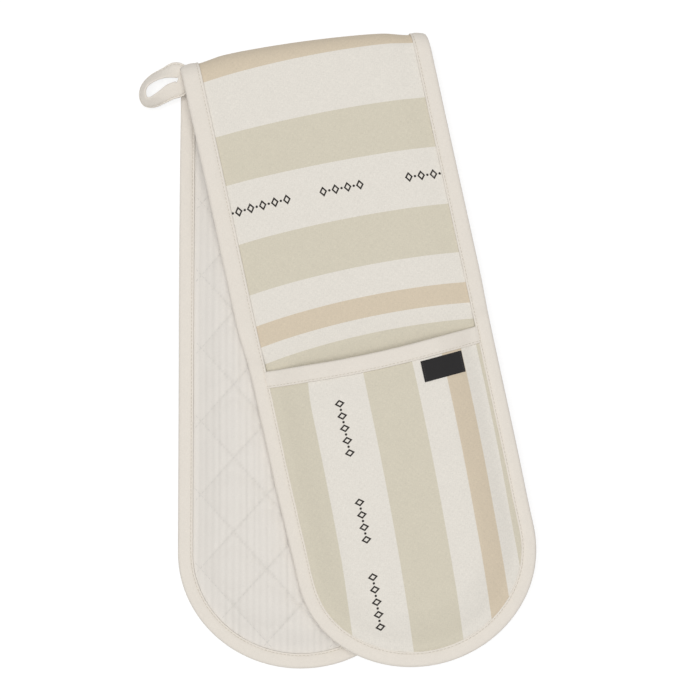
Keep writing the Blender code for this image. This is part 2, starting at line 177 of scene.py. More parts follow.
# The four lengths: the half that each runs into (-1 back, 1 front), the two bodies that it bends
# between, the angles round the bend of its hinge and of its own ends, and its CAD nodes' first words
Length = namedtuple("Length", "hand low_body high_body hinge start end cad_names")
strip_lengths = {
    "back": Length(-1, "back_half", "fold_back", -67.5, None, -45, ("back", "fold_back")),
    "bend_back": Length(0, "fold_back", "fold_middle", -22.5, -45, 0, ("fold_back", "fold_middle")),
    "bend_front": Length(0, "fold_middle", "fold_front", 22.5, 0, 45, ("fold_middle", "fold_front")),
    "front": Length(1, "fold_front", "front_half", 67.5, 45, None, ("fold_front", "front")),
}
piece_angle = math.radians(45)
free_bend = 0.0075
bend_reach = half_width + 0.002
bend_depths = (-0.0085, -0.004, 0.0, 0.002)
bend_inset = 0.04


def bend_span(length):
    """Points between which a length turns about its hinge. All its layers use the same two, so none
    moves through another, and where two lengths meet both already follow the body they share."""
    turned = math.radians(length.hinge)
    middle = crossing_point + off_crease * (quarter_fold - fold_radius * math.cos(turned))
    middle = middle + np.array((0, 0, fold_radius + fold_radius * math.sin(turned)))
    forward = off_crease * math.sin(turned) + np.array((0, 0, math.cos(turned)))
    forward = forward + along_crease * math.sin(turned) * bend_sag[1] / half_width
    forward = forward / np.linalg.norm(forward)
    w, n = np.meshgrid(np.linspace(-bend_reach, bend_reach, 80), bend_depths)

    def reach_at(end):
        return (folded(w, cut_line(math.radians(end), w), n, bend_inset) - middle) @ forward

    start = None if length.start is None else float(reach_at(length.start).max())
    finish = start + free_bend if length.end is None else float(reach_at(length.end).min())
    start = finish - free_bend if start is None else start
    return middle + forward * start, middle + forward * finish


def bend_with(piece, length):
    """Finds the points between which the length turns about its hinge, and bakes the piece's place into its
    mesh; the piece is not turned with the bend, nor attached to its two bodies.
    """
    start, end = bend_span(length)
    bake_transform(piece)


def columns_across(edge, count):
    """Places across a layer that is cut this far inside the strip's outline."""
    return np.linspace(edge - half_width, half_width - edge, count)


def stepped(stops, pitches):
    """Rows from each stop to the next at about these pitches, without the last."""
    rows = []
    for start, end, pitch in zip(stops, stops[1:], pitches):
        steps = max(round(np.abs(end - start).max() / pitch), 2)
        rows += [start + (end - start) * step / steps for step in range(steps)]
    return rows


def tip_rows(columns, pitch, edge):
    """Rows over a round end, at even steps along its edge."""
    steps = round(half_width * math.pi / 2 / pitch)
    turns = [math.sin(math.pi / 2 * step / steps) for step in range(steps + 1)]
    return [np.full(columns.shape, round_start + (round_end_length - edge) * turn) for turn in turns]


def length_rows(length, columns, pitch, edge):
    """Rows of places along one of the four lengths, a little closer where it bends."""
    hand = length.hand
    if not hand:
        first, last = math.radians(length.start), math.radians(length.end)
        steps = max(round(fold_radius * piece_angle / pitch * 1.6), 6)
        angles = [first + (last - first) * step / steps for step in range(steps + 1)]
        return np.array([cut_line(angle, columns) for angle in angles])
    stops = [cut_line(hand * piece_angle, columns), cut_line(hand * math.pi / 2, columns),
             np.full(columns.shape, hand * rise_start), np.full(columns.shape, hand * round_start)]
    rows = stepped(stops, (pitch * 0.6, pitch, pitch))
    return np.array(rows + [hand * row for row in tip_rows(columns, pitch, edge)])


def cut_cloth(columns, rows, edge):
    """Places and faces of a flat piece whose rows stop at the strip's outline, edge inside it."""
    beyond = np.clip((np.abs(rows) - round_start) / (round_end_length - edge), 0, 1)
    reach = (half_width - edge) * np.sqrt(1 - beyond ** 2)
    w = np.clip(np.broadcast_to(columns, rows.shape), -reach, reach)
    row_numbers = np.repeat(np.arange(len(rows)), len(columns))
    keys = np.stack([row_numbers, np.round(w.ravel() * 1e8).astype(np.int64)], 1)
    _, first_seen, numbers = np.unique(keys, axis=0, return_index=True, return_inverse=True)
    numbers = numbers.reshape(rows.shape).tolist()
    faces = []
    for near, far in zip(numbers, numbers[1:]):
        for column in range(len(columns) - 1):
            corners = list(dict.fromkeys((near[column], near[column + 1], far[column + 1], far[column])))
            if len(corners) > 2:
                faces.append(corners)
    return w.ravel()[first_seen], rows.ravel()[first_seen], faces


def flat_area(w, t, faces):
    """Area of the piece as it was cut, before it was sewn and folded."""
    total = 0
    for corners in faces:
        x, y = w[corners], t[corners]
        total += abs(np.dot(x, np.roll(y, -1)) - np.dot(y, np.roll(x, -1))) / 2
    return float(total)


def cut_size(length, w, t, faces, edge):
    """Width and length that a layer of the strip was cut to, and its area."""
    area, width = flat_area(w, t, faces), 2 * (half_width - edge)
    reach = float(t.max() - t.min()) if length.hand else fold_radius * piece_angle
    return (width, max(reach, area / width)), area


def full_volume(points, faces):
    """Six times the signed volume inside the faces."""
    triangles = [(face[0], face[step], face[step + 1]) for face in faces for step in range(1, len(face) - 1)]
    a, b, c = (points[[triangle[corner] for triangle in triangles]] for corner in range(3))
    return float((a * np.cross(b, c)).sum())


def add_cloth(name, places, points, faces, material, groove=None):
    """A mesh with its strip places and its painted groove shade kept on its points, its faces turned
    outwards.
    """
    if full_volume(points, faces) < 0:
        faces = [face[::-1] for face in faces]
    mesh = bpy.data.meshes.new(name)
    mesh.from_pydata(points.tolist(), [], faces)
    kept = mesh.attributes.new("strip", "FLOAT_VECTOR", "POINT")
    kept.data.foreach_set("vector", np.asarray(places, np.float32).ravel())
    if groove is not None:
        kept = mesh.attributes.new("groove", "FLOAT", "POINT")
        kept.data.foreach_set("value", np.asarray(groove, np.float32))
    mesh.materials.append(material)
    mesh.shade_smooth()
    mesh.set_sharp_from_angle(angle=math.radians(60))
    piece = bpy.data.objects.new(name, mesh)
    bpy.context.scene.collection.objects.link(piece)
    return piece


def longer_faces(faces, across, first_row, last_row, joined):
    """The same faces, with this many rows made one in the even part of a length, where no one sees them."""
    longer = faces[:first_row * across]
    row = first_row
    while row + joined <= last_row:
        rows = [faces[(row + step) * across:(row + step + 1) * across] for step in range(joined)]
        for column, (near, far) in enumerate(zip(rows[0], rows[-1])):
            left = [line[0][3] for line in reversed(rows[:-1])] if column == 0 else []
            right = [line[-1][2] for line in rows[:-1]] if column == across - 1 else []
            longer.append([near[0], near[1]] + right + [far[2], far[3]] + left)
        row += joined
    return longer + faces[row * across:]


def two_faced(name, w, t, faces, under, over, material, inset, groove=None, hidden_faces=None):
    """A closed sheet with its own lower and upper face, and a narrow wall round its cut edge."""
    count = len(w)
    points = np.concatenate([folded(w, t, under, inset), folded(w, t, over, inset)])
    places = np.concatenate([np.stack([w, t, under], 1), np.stack([w, t, over], 1)])
    edges = {}
    for corners in faces:
        for first, second in zip(corners, corners[1:] + corners[:1]):
            if (second, first) in edges:
                del edges[second, first]
            else:
                edges[first, second] = True
    shown = [tuple(corners) for corners in faces]
    shown += [tuple(corner + count for corner in reversed(corners)) for corners in hidden_faces or faces]
    shown += [(second, first, first + count, second + count) for first, second in edges]
    used = np.zeros(2 * count, bool)
    used[[corner for corners in shown for corner in corners]] = True
    numbers = (np.cumsum(used) - 1).tolist()
    shown = [tuple(numbers[corner] for corner in corners) for corners in shown]
    if groove is not None:
        groove = np.tile(groove, 2)[used]
    return add_cloth(name, places[used], points[used], shown, material, groove)


def dye(red, green, blue):
    """A colour as read on a screen, from 0 to 255, as the shader's own numbers."""
    shares = [value / 255 for value in (red, green, blue)]
    return tuple(share / 12.92 if share <= 0.04045 else ((share + 0.055) / 1.055) ** 2.4
                 for share in shares) + (1,)


def put(tree, value, socket):
    """Link another node's output to a socket, or set a plain value on it."""
    value = getattr(value, "output", value)
    if hasattr(value, "is_output"):
        tree.links.new(value, socket)
    else:
        socket.default_value = value


def add_node(tree, kind, inputs=None, **settings):
    """A node with its settings, and what goes into its sockets by their names or numbers."""
    node = tree.nodes.new(kind)
    for name, value in settings.items():
        setattr(node, name, value)
    for socket, value in (inputs or {}).items():
        put(tree, value, node.inputs[socket])
    return node


class Reading:
    """A number that comes out of a node. Sums with it are written plainly, and add Math nodes."""

    def __init__(self, tree, output):
        self.tree, self.output = tree, output

    def through(self, operation, *values):
        """What a Math node makes of this reading and of the values, numbers or other readings."""
        node = add_node(self.tree, "ShaderNodeMath", dict(enumerate((self,) + values)), operation=operation)
        return Reading(self.tree, node.outputs[0])

    def __add__(self, other):
        return self.through("ADD", other)

    def __sub__(self, other):
        return self.through("SUBTRACT", other)

    def __rsub__(self, other):
        return self.through("MULTIPLY_ADD", -1.0, other)

    def __mul__(self, other):
        return self.through("MULTIPLY", other)

    def __truediv__(self, other):
        return self.through("DIVIDE", other)

    def __abs__(self):
        return self.through("ABSOLUTE")

    def within(self, ranges):
        """1 where the reading lies in one of the ranges, and 0 elsewhere."""
        parts = [self.through("COMPARE", (low + high) / 2, (high - low) / 2) for low, high in ranges]
        total = parts[0]
        for part in parts[1:]:
            total = total.through("MAXIMUM", part)
        return total


def readings(tree, outputs):
    return [Reading(tree, output) for output in outputs]


def mixed_colour(tree, share, first, second, blend_type="MIX"):
    node = add_node(tree, "ShaderNodeMix", data_type="RGBA", blend_type=blend_type)
    for number, value in ((0, share), (6, first), (7, second)):
        put(tree, value, node.inputs[number])
    return node.outputs[2]


def new_group(name, kind, inputs, outputs):
    """An empty node group: its tree, what is given to it and the sockets of what it makes."""
    tree = bpy.data.node_groups.new(name, kind)
    for title, socket_kind, value in inputs:
        socket = tree.interface.new_socket(title, in_out="INPUT", socket_type="NodeSocket" + socket_kind)
        if value is not None:
            socket.default_value = value
    for title, socket_kind in outputs:
        tree.interface.new_socket(title, in_out="OUTPUT", socket_type="NodeSocket" + socket_kind)
    return tree, add_node(tree, "NodeGroupInput").outputs, add_node(tree, "NodeGroupOutput").inputs


# Uneven yarn is noise drawn out along the threads: its scales along and across them, both ways
yarn_scales = ((380, 2600, 0), (2600, 380, 0))
cloud_scale = 110


def build_weave_group():
    """Plain weave: threads both ways, uneven yarn, and a slight cloudiness of the dye."""
    tree, given, made = new_group(
        "plain_weave", "ShaderNodeTree",
        (("Place", "Vector", None), ("Thread Pitch", "Float", 0.0006), ("Yarn Unevenness", "Float", 0.5)),
        (("Height", "Float"), ("Yarn", "Float"), ("Cloud", "Float")))
    place, pitch, unevenness = given["Place"], given["Thread Pitch"], given["Yarn Unevenness"]
    parts = readings(tree, add_node(tree, "ShaderNodeSeparateXYZ", {0: place}).outputs[:2])
    weft, warp = ((part / pitch * math.pi).through("SINE") for part in parts)
    streaks = []
    for scales in yarn_scales:
        stretched = add_node(tree, "ShaderNodeVectorMath", {0: place, 1: scales}, operation="MULTIPLY")
        noise = add_node(tree, "ShaderNodeTexNoise", {
            "Vector": stretched.outputs[0], "Scale": 1, "Detail": 2}, noise_dimensions="2D")
        streaks.append(Reading(tree, noise.outputs["Fac"]))
    yarn = ((streaks[0] + streaks[1]) * 0.5 - 0.5) * unevenness
    cloud = add_node(tree, "ShaderNodeTexNoise", {"Vector": place, "Scale": cloud_scale, "Detail": 3})
    height = weft * warp * 0.5 + yarn * 1.5
    for name, value in (("Height", height), ("Yarn", yarn), ("Cloud", cloud.outputs["Fac"])):
        put(tree, value, made[name])
    return tree


weave_group = build_weave_group()


def new_material(name, constants):
    """A material with its tree and its shader, on which these constants are set."""
    material = bpy.data.materials.new(name)
    material.use_nodes = True
    shader = material.node_tree.nodes["Principled BSDF"]
    for socket, value in constants.items():
        shader.inputs[socket].default_value = value
    return material, material.node_tree, shader


def woven_material(name, colour, thread_pitch, unevenness, yarn_depth, cloud_depth,
                   roughness=0.88, bump_height=0.00005, sheen=0.1):
    """A matt cloth, lighter and darker by its yarn and its cloudiness. Its colour is a dye, or made
    by a function of the tree and the strip's places."""
    material, tree, shader = new_material(name, {
        "Roughness": roughness, "Specular IOR Level": 0.25, "Sheen Weight": sheen, "Sheen Roughness": 0.5})
    strip = add_node(tree, "ShaderNodeAttribute", attribute_type="GEOMETRY", attribute_name="strip")
    place = strip.outputs["Vector"]
    given = {"Place": place, "Thread Pitch": thread_pitch, "Yarn Unevenness": unevenness}
    weave = add_node(tree, "ShaderNodeGroup", given, node_tree=weave_group).outputs
    bump = add_node(tree, "ShaderNodeBump", {
        "Height": weave["Height"], "Distance": bump_height, "Strength": 0.6})
    yarn, cloud = readings(tree, (weave["Yarn"], weave["Cloud"]))
    level = (yarn * yarn_depth + 1.0) * (cloud * cloud_depth + (1.0 - cloud_depth / 2))
    grey = add_node(tree, "ShaderNodeCombineColor", {0: level, 1: level, 2: level}).outputs[0]
    dyed = colour(tree, place) if callable(colour) else colour
    put(tree, mixed_colour(tree, 1.0, dyed, grey, "MULTIPLY"), shader.inputs["Base Color"])
    put(tree, bump.outputs["Normal"], shader.inputs["Normal"])
    return material


def painted_groove_shade_colour(tree, place):
    """White on the ribs, with painted shade between them and along the quilting seams."""
    groove = add_node(tree, "ShaderNodeAttribute", attribute_type="GEOMETRY", attribute_name="groove")
    # The darker dye is painted shade, laid on where the groove attribute says.
    return mixed_colour(tree, groove.outputs["Fac"], dye(227, 222, 215), dye(186, 182, 175))


ribbed_lining = woven_material("ribbed_lining", painted_groove_shade_colour, 0.0007, 0.6, 0.25, 0.03,
                               roughness=0.9, sheen=0.15)

rib_pitch = 0.0049
rib_height = 0.00015
quilt_width = 0.0485
quilt_length = 0.0534
quilt_crossing_to_tip = 0.099
quilt_depth = 0.0021
lining_edge = 0.0012
lining_pitch = 0.0019
hidden_rows_joined = 4
lining_columns = columns_across(lining_edge, 241)


def on_diamonds(w, t):
    """Places in sides of the sewn diamonds, which mirror each other about the middle of the strip."""
    along = (np.abs(t) - half_length + quilt_crossing_to_tip) / quilt_length
    return w / quilt_width + along, w / quilt_width - along


def blown_out(points, faces, held, pressure, slack):
    """How far cloth that is held at some points moves when its filling pushes it out."""
    scale, last_frame = 10, 20
    mesh = bpy.data.meshes.new("blown_cloth")
    mesh.from_pydata((points * scale).tolist(), [], faces.tolist())
    cloth = bpy.data.objects.new("blown_cloth", mesh)
    bpy.context.scene.collection.objects.link(cloth)
    cloth.vertex_groups.new(name="held").add([int(number) for number in held], 1, "REPLACE")
    modifier = cloth.modifiers.new("Cloth", "CLOTH")
    settings = modifier.settings
    settings.vertex_group_mass = "held"
    settings.quality, settings.mass, settings.bending_stiffness = 5, 0.3, 0.3
    settings.tension_stiffness = settings.compression_stiffness = 20
    settings.shear_stiffness = 10
    settings.effector_weights.gravity = 0
    settings.use_pressure = True
    settings.uniform_pressure_force = pressure
    settings.shrink_min = -slack
    modifier.collision_settings.use_collision = False
    modifier.point_cache.frame_start, modifier.point_cache.frame_end = 1, last_frame
    for number in range(1, last_frame + 1):
        bpy.context.scene.frame_set(number)
    moved = np.zeros(len(points) * 3, np.float32)
    shown = cloth.evaluated_get(bpy.context.evaluated_depsgraph_get())
    shown.data.vertices.foreach_get("co", moved)
    bpy.context.scene.frame_set(1)
    bpy.data.objects.remove(cloth)
    bpy.data.meshes.remove(mesh)
    return moved.reshape(-1, 3) / scale - points


# The lining is sewn down on a lattice of diamonds, held also at the binding, and pushed out by the
# wadding. The lattice reaches a little past the strip's edges, and its low corner is its first place.
diamond_steps = 14
diamonds_across = 13
lattice_margin = 0.004
held_inset = 0.0105
wadding_pressure, cloth_slack = 2, 0.03
lattice_low = np.floor(np.array((-9.0, -4.0)) * diamond_steps).astype(int)
a, b = np.meshgrid(*(np.arange(low, low + diamonds_across * diamond_steps + 1) for low in lattice_low),
                   indexing="ij")
w = (a + b) / 2 / diamond_steps * quilt_width
t = (a - b) / 2 / diamond_steps * quilt_length + half_length - quilt_crossing_to_tip
lattice_puff = np.abs(np.sin(math.pi * a / diamond_steps) * np.sin(math.pi * b / diamond_steps)) ** 0.7
used = (np.abs(w) <= half_width + lattice_margin) & (t >= -lattice_margin)
used &= t <= half_length + lattice_margin
numbers = np.full(w.shape, -1)
numbers[used] = np.arange(used.sum())
corners = np.stack([numbers[:-1, :-1], numbers[1:, :-1], numbers[1:, 1:], numbers[:-1, 1:]], -1)
corners = corners[(corners >= 0).all(-1)]
points = np.stack([w[used], t[used], np.zeros(used.sum())], 1)
held = (a[used] % diamond_steps == 0) | (b[used] % diamond_steps == 0)
held |= inset_of(w[used], t[used]) < held_inset
rise = -blown_out(points, corners, np.flatnonzero(held), wadding_pressure, cloth_slack)[:, 2]
lattice_puff[used] = np.clip(rise / np.percentile(rise, 96), 0, 1.1)


def puff_of(w, t):
    """How far the lining stands up between its quilting seams, 0 on a seam and about 1 in a diamond."""
    places = [place * diamond_steps - low for place, low in zip(on_diamonds(w, t), lattice_low)]
    i, j = (np.clip(np.floor(place).astype(int), 0, lattice_puff.shape[0] - 2) for place in places)
    x, y = (np.clip(place - cell, 0, 1) for place, cell in zip(places, (i, j)))
    near = lattice_puff[i, j] * (1 - x) + lattice_puff[i + 1, j] * x
    far = lattice_puff[i, j + 1] * (1 - x) + lattice_puff[i + 1, j + 1] * x
    return np.clip(near * (1 - y) + far * y, 0, None) ** 0.62


rib_draws = np.random.default_rng(11).normal(size=(2, 90))
rib_spots = np.linspace(-half_width, half_width, 90)


def rib_wave(w, t):
    """0 in the grooves between the ribs and 1 on top of them; no two ribs are quite alike."""
    wander = np.interp(w, rib_spots, rib_draws[0]) * 0.00035 + 0.0003 * np.sin(t * 31 + w * 60)
    strength = 0.62 + 0.22 * np.interp(w, rib_spots, rib_draws[1]) * np.cos(t * 23 + 40 * w)
    wave = 0.5 - 0.5 * np.cos(2 * math.pi * (w + wander) / rib_pitch)
    return 1 - np.clip(strength, 0.15, 1) * (1 - wave)


held_thickness, pad_swell = 0.0030, 0.0050
lining_thickness, lining_swell = 0.0010, 0.0017


def pad_top(inset):
    """n of the printed cloth's outer face; the lining's is as far on the other side of pad_middle."""
    return pad_middle + (held_thickness + pad_swell * pad_share(inset)) / 2


def lining_back(inset):
    """n of the lining's back, next to the wadding."""
    return 2 * pad_middle - pad_top(inset) + lining_thickness + lining_swell * pad_share(inset)


# Small puckers stand across the quilting seams. Shade is painted into the colour of the grooves between ribs
# and along seams.
seam_spacing = 0.0358
pucker_height = 0.00024
pucker_pitch = 0.0062
pucker_reach = 0.0045
rib_shade, seam_shade, seam_shade_width = 0.27, 0.21, 0.0009


def lining_face(w, t, inset):
    """n of the lining's ribbed outer face, and how much shade is painted on each place, in the grooves
    between ribs and along the quilting seams.
    """
    share = pad_share(inset)
    wave, puff = rib_wave(w, t), puff_of(w, t)
    a, b = on_diamonds(w, t)
    from_a, from_b = (np.abs(place - np.round(place)) * seam_spacing for place in (a, b))
    pinch = 0
    for number, (off, along) in enumerate(((from_a, b), (from_b, a))):
        ripple = np.cos(2 * math.pi * along * seam_spacing / pucker_pitch + 2 * np.sin(along * 7 + number))
        pinch = pinch + ripple * np.exp(-(off / pucker_reach) ** 2)
    sunk = quilt_depth * (1 - np.minimum(puff, 1)) + pucker_height * pinch
    face = 2 * pad_middle - pad_top(inset) + share * sunk + rib_height * (1 - wave)
    seam = np.exp(-(np.minimum(from_a, from_b) / seam_shade_width) ** 2)
    return face, rib_shade * (1 - wave) ** 1.5 + seam_shade * share * seam


def build_stitch_tree():
    """Stitches along seams: short lengths of thread at even steps, lying on the cloth."""
    tree, given, made = new_group("row_of_stitches", "GeometryNodeTree", (
        ("Seams", "Geometry", None), ("Stitch Step", "Float", 0.0028), ("Stitch Length", "Float", 0.0020),
        ("Thread Width", "Float", 0.0005), ("Unevenness", "Float", 0.12), ("Seed", "Int", 1),
        ("Thread", "Material", None)), (("Stitches", "Geometry"),))
    line = add_node(tree, "GeometryNodeMeshToCurve", {"Mesh": given["Seams"]})
    spots = add_node(tree, "GeometryNodeCurveToPoints", {
        "Curve": line.outputs["Curve"], "Length": given["Stitch Step"]}, mode="LENGTH")
    lift = add_node(tree, "GeometryNodeInputNamedAttribute", {"Name": "lift"}, data_type="FLOAT_VECTOR")
    laid_along = add_node(tree, "FunctionNodeAlignRotationToVector", {
        "Vector": spots.outputs["Tangent"]}, axis="X")
    upright = add_node(tree, "FunctionNodeAlignRotationToVector", {
        "Rotation": laid_along.outputs["Rotation"], "Vector": lift.outputs["Attribute"]},
        axis="Z", pivot_axis="X")
    draw = add_node(tree, "FunctionNodeRandomValue", data_type="FLOAT")
    stitch_length, width, unevenness = readings(
        tree, (given["Stitch Length"], given["Thread Width"], given["Unevenness"]))
    for name, value in (("Min", 1.0 - unevenness), ("Max", unevenness + 1.0), ("Seed", given["Seed"])):
        put(tree, value, next(socket for socket in draw.inputs if socket.name == name and socket.enabled))
    drawn = next(socket for socket in draw.outputs if socket.enabled)
    size = add_node(tree, "ShaderNodeCombineXYZ", {
        0: stitch_length * 0.5 * drawn, 1: width * 0.5, 2: width * 0.5})
    thread = add_node(tree, "GeometryNodeMeshUVSphere", {"Segments": 6, "Rings": 4})
    laid = add_node(tree, "GeometryNodeTransform", {
        "Geometry": thread.outputs["Mesh"], "Rotation": (0, math.pi / 2, 0)})
    placed = add_node(tree, "GeometryNodeInstanceOnPoints", {
        "Points": spots.outputs["Points"], "Instance": laid.outputs["Geometry"],
        "Rotation": upright.outputs["Rotation"], "Scale": size.outputs[0]})
    smooth = add_node(tree, "GeometryNodeSetShadeSmooth", {"Geometry": placed.outputs["Instances"]})
    real = add_node(tree, "GeometryNodeRealizeInstances", {"Geometry": smooth.outputs["Geometry"]})
    dyed = add_node(tree, "GeometryNodeSetMaterial", {
        "Geometry": real.outputs["Geometry"], "Material": given["Thread"]})
    put(tree, dyed.outputs["Geometry"], made["Stitches"])
    return tree


stitch_tree = build_stitch_tree()


def thread_material(name, colour):
    """Sewing cotton, a little darker and lighter along its plies."""
    material, tree, shader = new_material(name, {"Roughness": 0.7, "Sheen Weight": 0.2})
    place = add_node(tree, "ShaderNodeTexCoord").outputs["Object"]
    plies = add_node(tree, "ShaderNodeTexNoise", {"Vector": place, "Scale": 2600})
    darker = tuple(part * 0.72 for part in colour[:3]) + (1,)
    put(tree, mixed_colour(tree, plies.outputs["Fac"], darker, colour), shader.inputs["Base Color"])
    return material


def sewn_rows(name, rows, thread, stitch, seed):
    """The stitches of one piece; each row is (points, directions out of the cloth), and a stitch is
    (step, length, width of the thread)."""
    mesh = bpy.data.meshes.new(name)
    starts = np.cumsum([0] + [len(points) for points, lifts in rows]).tolist()
    edges = [(number, number + 1) for start, end in zip(starts, starts[1:])
             for number in range(start, end - 1)]
    points, lifts = (np.concatenate(part) for part in zip(*rows))
    mesh.from_pydata(points.tolist(), edges, [])
    lift = mesh.attributes.new("lift", "FLOAT_VECTOR", "POINT")
    lift.data.foreach_set("vector", lifts.astype(np.float32).ravel())
    piece = bpy.data.objects.new(name, mesh)
    bpy.context.scene.collection.objects.link(piece)
    modifier = piece.modifiers.new("Stitches", "NODES")
    modifier.node_group = stitch_tree
    values = dict(zip(("Stitch Step", "Stitch Length", "Thread Width"), stitch), Seed=seed, Thread=thread)
    for item in stitch_tree.interface.items_tree:
        if item.item_type == "SOCKET" and item.in_out == "INPUT" and item.name in values:
            modifier[item.identifier] = values[item.name]
    stitched = bpy.data.meshes.new_from_object(piece.evaluated_get(bpy.context.evaluated_depsgraph_get()))
    piece.modifiers.clear()
    piece.data = stitched
    bpy.data.meshes.remove(mesh)
    stitched.name = name
    return piece


# This thread's colour is a little greyer than the lining's: painted shade of the quilting seam, on white
# thread.
quilting_thread = thread_material("white_sewing_cotton", dye(222, 219, 213))
quilting_stitch = (0.0034, 0.0025, 0.00045)
quilting_stop = 0.0130
seam_point_step = 0.001
thread_height = 0.0001


def quilting_rows(length):
    """The quilting seams that lie on one of the four lengths, on the lining's outer face."""
    rows = []
    for side in ((length.hand,) if length.hand else (-1, 1)):
        t_run = side * np.arange(0, half_length, seam_point_step)
        along = (np.abs(t_run) - half_length + quilt_crossing_to_tip) / quilt_length
        for number in range(-9, 10):
            for slant in (-1, 1):
                w_run = quilt_width * (number - along) * slant
                inset = inset_of(np.clip(w_run, -half_width, half_width), t_run)
                round_fold = (t_run + fold_offset) * math.cos(fold_tilt) - w_run * math.sin(fold_tilt)
                turned = np.degrees(round_fold / fold_radius)
                kept = (inset > quilting_stop) & (np.abs(w_run) < half_width)
                if length.start is not None:
                    kept &= turned >= length.start
                if length.end is not None:
                    kept &= turned <= length.end
                for run in np.split(np.arange(len(t_run)), np.flatnonzero(np.diff(kept.astype(int))) + 1):
                    if kept[run[0]] and len(run) > 3:
                        w, t, inset_run = w_run[run], t_run[run], inset[run]
                        n = lining_face(w, t, inset_run)[0] - thread_height
                        on_cloth, off_cloth = (folded(w, t, n - off, inset_run) for off in (0, 0.001))
                        rows.append((on_cloth, (off_cloth - on_cloth) / 0.001))
    return rows


for number, (length_name, length) in enumerate(strip_lengths.items()):
    rows = length_rows(length, lining_columns, lining_pitch, lining_edge)
    w, t, faces = cut_cloth(lining_columns, rows, lining_edge)
    inset = inset_of(w, t)
    # groove is how much shade is painted on each place of the lining
    face, groove = lining_face(w, t, inset)
    nearest, farthest = np.abs(rows).min(1), np.abs(rows).max(1)
    even = np.flatnonzero((nearest >= rise_start) & (farthest <= round_start + 1e-9)).tolist()
    back_faces = None
    if even:
        back_faces = longer_faces(faces, len(lining_columns) - 1, even[0], even[-1], hidden_rows_joined)
    lining = two_faced(length_name + "_ribbed_lining", w, t, faces, face, lining_back(inset), ribbed_lining,
                       inset, groove, back_faces)
    bend_with(lining, length)
    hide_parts(*(name + "_lining" for name in length.cad_names))
    flat, area = cut_size(length, w, t, faces, lining_edge)
    quilting = sewn_rows(length_name + "_quilting_stitches", quilting_rows(length), quilting_thread,
                         quilting_stitch, number)
    bend_with(quilting, length)

# Wadding of the strip. A bat of soft white fibre between the lining and the printed cloth,
# quilted to the lining and thinned to a few millimetres where the binding holds the edge.

wadding_edge = 0.0020
wadding_pitch = 0.005
wadding_clearance = 0.0007
wadding_columns = columns_across(wadding_edge, 45)


def fibre_material():
    """Tangled white fibre, matt and slightly uneven."""
    material, tree, shader = new_material("fibre_wadding", {"Roughness": 0.95, "Sheen Weight": 0.3})
    strip = add_node(tree, "ShaderNodeAttribute", attribute_type="GEOMETRY", attribute_name="strip")
    tangle = add_node(tree, "ShaderNodeTexNoise", {
        "Vector": strip.outputs["Vector"], "Scale": 900, "Detail": 4, "Distortion": 2}).outputs["Fac"]
    put(tree, mixed_colour(tree, tangle, dye(225, 225, 221), dye(246, 246, 243)), shader.inputs["Base Color"])
    bump = add_node(tree, "ShaderNodeBump", {"Height": tangle, "Distance": 0.0004})
    put(tree, bump.outputs["Normal"], shader.inputs["Normal"])
    return material


fibre_wadding = fibre_material()

for length_name, length in strip_lengths.items():
    rows = length_rows(length, wadding_columns, wadding_pitch, wadding_edge)
    w, t, faces = cut_cloth(wadding_columns, rows, wadding_edge)
    inset = inset_of(w, t)
    bat = two_faced(length_name + "_strip_wadding", w, t, faces, lining_back(inset),
                    pad_top(inset) - wadding_clearance, fibre_wadding, inset)
    bend_with(bat, length)
    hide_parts(*(name + "_wadding" for name in length.cad_names))

# Printed outer cloth of the strip. Plain woven cotton, white, printed with beige and tan
# stripes across the strip and a row of small charcoal lozenges on each half. It lies over the
# wadding, unquilted, with its edges caught in the binding.

shell_edge = 0.0012
shell_pitch = 0.0025
shell_thickness = 0.0006
shell_columns = columns_across(shell_edge, 73)
white_dye, beige_dye, tan_dye = dye(227, 222, 213), dye(211, 204, 186), dye(212, 198, 176)
charcoal_dye = dye(52, 48, 45)


def build_lozenge_group():
    """A printed row of open lozenges with a small dot between them."""
    sizes = {"Along": 0, "Off Row": 0, "Pitch": 0.009, "Half Width": 0.0029, "Half Height": 0.0038,
             "Dot": 0.0009}
    tree, given, made = new_group("lozenge_row", "ShaderNodeTree", [
        (name, "Float", value) for name, value in sizes.items()], (("Mask", "Float"),))
    along, off_row, pitch, half_across, half_high, dot_radius = readings(
        tree, [given[name] for name in sizes])
    from_middle = abs(((along / pitch + 100.5).through("FRACT") - 0.5) * pitch)
    reach = from_middle / half_across + abs(off_row) / half_high
    outline = reach.through("LESS_THAN", 1.0) * reach.through("GREATER_THAN", 0.5)
    from_dot = pitch * 0.5 - from_middle
    dot = (from_dot * from_dot + off_row * off_row).through("SQRT").through("LESS_THAN", dot_radius)
    put(tree, outline.through("MAXIMUM", dot), made["Mask"])
    return tree


lozenge_group = build_lozenge_group()
row_end_gap = 0.0012


def printed(tree, across_stripes, beige_ranges, tan_ranges, along_row, off_row, row_groups):
    """The print on its white ground: beige and tan stripes, and groups of lozenges in a row."""
    colour = mixed_colour(tree, across_stripes.within(beige_ranges), white_dye, beige_dye)
    colour = mixed_colour(tree, across_stripes.within(tan_ranges), colour, tan_dye)
    given = {"Along": along_row, "Off Row": off_row}
    lozenges = add_node(tree, "ShaderNodeGroup", given, node_tree=lozenge_group).outputs["Mask"]
    shown = along_row.within([(low + row_end_gap, high - row_end_gap) for low, high in row_groups])
    return mixed_colour(tree, shown * lozenges, colour, charcoal_dye)


